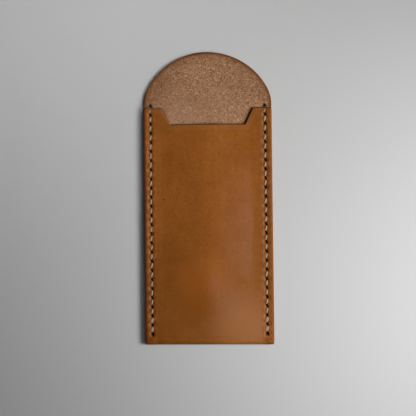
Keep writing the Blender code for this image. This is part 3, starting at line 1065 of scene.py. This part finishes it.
def flesh_leather():
    """Flesh side: short fibres, light and dark flecks, tan burnish bleeding in from the rim, painted light
    near the notch and painted shade in the slits.
    """
    n = Nodes("flesh_leather", roughness=0.92, specular=0.12)
    place = n.field("flat_place", True)
    true_rim = n.field("rim")
    bent = n.noise(place, 0.35, 2, 0.5)
    fibre = n.noise(n.scaled(place, (1.0, 1.35, 1.0)), 0.80, 4, 0.62, 1.6)
    tuft = n.noise(place, 2.4, 3, 0.6, 0.6)
    cloud = n.noise(place, 0.075, 3, 0.5)
    speckle = n.noise(place, 0.85, 2, 0.6, 0.8)
    nap = n.blended((fibre, 0.62), (tuft, 0.38))
    colour = n.ramp(nap, (0.375, (0.098, 0.039, 0.014)), (0.455, (0.225, 0.108, 0.050)),
                    (0.520, (0.310, 0.158, 0.080)), (0.610, (0.530, 0.303, 0.180)))
    colour = n.shaded(colour, cloud, (0.32, (0.90, 0.89, 0.87)), (0.68, (1.08, 1.09, 1.10)))
    rim = n.sum("ADD", true_rim, n.ranged(n.noise(place, 0.9, 3, 0.65), 0.3, 0.7, -0.7, 0.7))
    colour = n.mix(n.fading(rim, 1.5, 9.0, 0.26), colour, (0.130, 0.050, 0.016))
    colour = n.areas(colour, place, shaded_areas)
    colour = n.mix(n.ranged(speckle, 0.585, 0.68, 0.0, 0.50), colour, (0.110, 0.042, 0.015))
    # Painted light near the notch
    colour = n.areas(colour, place, painted_light_areas)
    colour = n.mix(n.fading(rim, 0.6, 2.4, 0.85), colour, (0.150, 0.052, 0.010))
    colour = n.mix(n.fading(true_rim, 0.25, 0.85, 0.95), colour, (0.060, 0.014, 0.002))
    # Painted shade in the slits and open pits
    colour = n.mix(n.field("pit"), colour, (0.008, 0.004, 0.002))
    height = n.blended((fibre, 1.0), (tuft, 0.6), (bent, 0.8))
    rough = n.ranged(true_rim, 0.3, 1.2, 0.70, 0.95)
    return n.finish(colour, rough, n.bump(height, 0.00030, 0.75))


def cut_edge():
    """Burnished cut edge, dark and slightly glossy, with the layers' lines in it; painted light on the
    right side and painted shadow on the notch's right slant.
    """
    n = Nodes("cut_edge", roughness=0.6, specular=0.08)
    place = n.field("flat_place", True)
    across = n.axis(place, 0)
    lines = n.noise(n.scaled(place, (0.25, 0.25, 2.6)), 1.0, 3, 0.6, 0.4)
    spots = n.noise(place, 0.8, 3, 0.6)
    colour = n.ramp(lines, (0.30, (0.100, 0.021, 0.003)), (0.70, (0.200, 0.051, 0.009)))
    colour = n.mix(n.ranged(spots, 0.50, 0.75, 0, 0.35), colour, (0.230, 0.066, 0.012))
    # Painted light: the cut edge lighter on the right side
    colour = n.mix(n.ranged(across, 28, 34, 0.0, 0.75), colour, (0.270, 0.088, 0.015))
    # Painted shadow along the cut edge of the notch's right slant
    right_slant_shadow = n.times(n.ranged(across, 19.5, 20.6, 0.0, 0.9), n.ranged(across, 25, 28, 1.0, 0.0))
    right_slant_shadow = n.times(right_slant_shadow, n.ranged(n.axis(place, 1), 11, 13, 1.0, 0.0))
    colour = n.mix(right_slant_shadow, colour, (0.024, 0.006, 0.002))
    height = n.blended((lines, 0.8), (spots, 0.6))
    return n.finish(colour, n.ranged(spots, 0.35, 0.7, 0.55, 0.68), n.bump(height, 0.00008, 0.5))


def waxed_thread():
    """Cream waxed linen: light plies, shaded grooves between them and fine fibres."""
    n = Nodes("waxed_thread", roughness=0.6, specular=0.35)
    n.shader.inputs["Sheen Weight"].default_value = 0.15
    place = n.field("flat_place", True)
    fibre = n.noise(n.scaled(place, (3.0, 9.0, 3.0)), 1.0, 3, 0.6)
    grime = n.noise(n.scaled(place, (0.14, 0.3, 0.4)), 1.0, 3, 0.6)
    colour = n.ramp(n.field("ply"), (0.05, (0.225, 0.165, 0.098)), (0.55, (0.430, 0.345, 0.230)),
                    (1.0, (0.530, 0.440, 0.310)))
    colour = n.shaded(colour, fibre, (0.30, (0.86, 0.85, 0.83)), (0.70, (1.07, 1.07, 1.07)))
    colour = n.mix(n.ranged(grime, 0.48, 0.72, 0.0, 0.40), colour, (0.285, 0.205, 0.120))
    # Darker where the thread passes over the mouth's edge
    colour = n.mix(n.times(n.field("wrap_darkening"), 0.88), colour, (0.040, 0.016, 0.007))
    return n.finish(colour, n.ranged(fibre, 0.3, 0.7, 0.52, 0.68), n.bump(fibre, 0.00004, 0.6))


def pale_floor():
    """Plain pale matt surface."""
    n = Nodes("pale_floor", roughness=0.75, specular=0.2)
    place = n.add("TexCoord").outputs["Object"]
    cloud = n.noise(place, 3.0, 3, 0.5)
    return n.finish(n.ramp(cloud, (0.3, (0.488, 0.488, 0.487)), (0.7, (0.512, 0.512, 0.513))))


# Build the pieces
grain = grain_leather()
flesh = flesh_leather()
edge = cut_edge()
linen = waxed_thread()

pocket = leather_pocket([grain, flesh, edge])
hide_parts("front_panel", "back_panel", "bottom_fold", "flap_spine")
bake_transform(pocket)

tongue = leather_tongue([grain, flesh, edge])
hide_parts("flap")
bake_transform(tongue)

for name, side in (("left", -1), ("right", 1)):
    thread = seam_thread(name + "_thread", side * seam_x, linen)
    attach(thread, "pocket")
    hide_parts(name + "_seam_thread")

# Floor, lamps and camera
floor_half = 3.0
floor_corners = [(-floor_half, -floor_half, 0), (floor_half, -floor_half, 0),
                 (floor_half, floor_half, 0), (-floor_half, floor_half, 0)]
floor_mesh = bpy.data.meshes.new("floor")
floor_mesh.from_pydata(floor_corners, [], [(0, 1, 2, 3)])
floor_mesh.materials.append(pale_floor())
floor = bpy.data.objects.new("floor", floor_mesh)
floor.location.z = -0.00002
bpy.context.scene.collection.objects.link(floor)


def soft_lamp(name, place, size, power, target, spread):
    """A round soft lamp that looks at a target."""
    data = bpy.data.lights.new(name, "AREA")
    data.shape = "DISK"
    data.size = size
    data.energy = power
    data.spread = math.radians(spread)
    lamp = bpy.data.objects.new(name, data)
    lamp.location = place
    lamp.rotation_euler = (Vector(target) - Vector(place)).to_track_quat("-Z", "Y").to_euler()
    lamp.visible_camera = False
    bpy.context.scene.collection.objects.link(lamp)


soft_lamp("key_lamp", (0.250, -0.050, 0.284), size=0.19, power=1.08, target=(0.075, -0.045, 0), spread=150)
soft_lamp("low_lamp", (0.067, -0.146, 0.340), size=0.11, power=0.0088, target=(0.030, -0.065, 0), spread=60)
soft_lamp("top_lamp", (0.200, 0.324, 0.550), size=0.20, power=0.105, target=(-0.110, 0.139, 0), spread=33)
soft_lamp("ceiling_lamp", (-0.020, 0, 0.620), size=0.50, power=0.155, target=(0, 0, 0), spread=160)

world = bpy.data.worlds.new("world")
bpy.context.scene.world = world
world.use_nodes = True
background = world.node_tree.nodes["Background"]
background.inputs["Color"].default_value = (1, 1, 1, 1)
background.inputs["Strength"].default_value = 0.010

camera_data = bpy.data.cameras.new("camera")
camera_data.lens = 85
camera_data.sensor_width = 36
camera_data.clip_start = 0.01
camera = bpy.data.objects.new("camera", camera_data)
camera.location = (0.0012, -0.0036, 0.5412)
camera.rotation_euler = [math.radians(angle) for angle in (-0.14, 0.146, -0.573)]
bpy.context.scene.collection.objects.link(camera)
bpy.context.scene.camera = camera
bpy.context.scene.view_settings.view_transform = "Standard"

bpy.context.view_layer.update()
